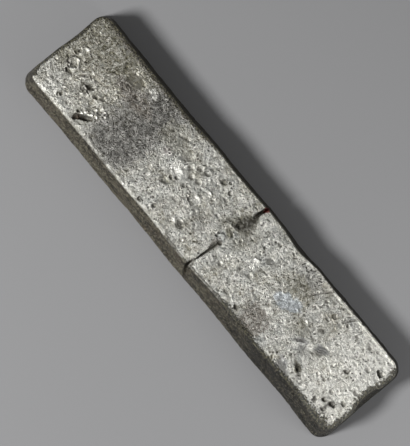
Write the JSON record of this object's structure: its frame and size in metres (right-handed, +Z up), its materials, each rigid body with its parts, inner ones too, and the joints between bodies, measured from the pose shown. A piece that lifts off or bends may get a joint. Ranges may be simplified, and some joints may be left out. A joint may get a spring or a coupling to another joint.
{
  "type": "silver ingot",
  "caption": "Long flat cast silver bar, wider at its base, with a crack across its middle, fine edge cracks, gas holes and a shallow shrinkage hollow underneath.",
  "frame": {"origin": "middle of the base, on the plane that the bar rests on", "axes": "+X along the bar, towards the end with the bite in its rim; +Y across the bar, away from the side where the crack runs deepest; +Z up, from the wide poured face to the narrow face"},
  "size_m": [0.1285, 0.0313, 0.0108],
  "materials": {
    "silver": "rough cast, dull, tarnished grey and olive in patches"
  },
  "bodies": {
    "root": {"ingot": "silver"}
  },
  "joints": []
}
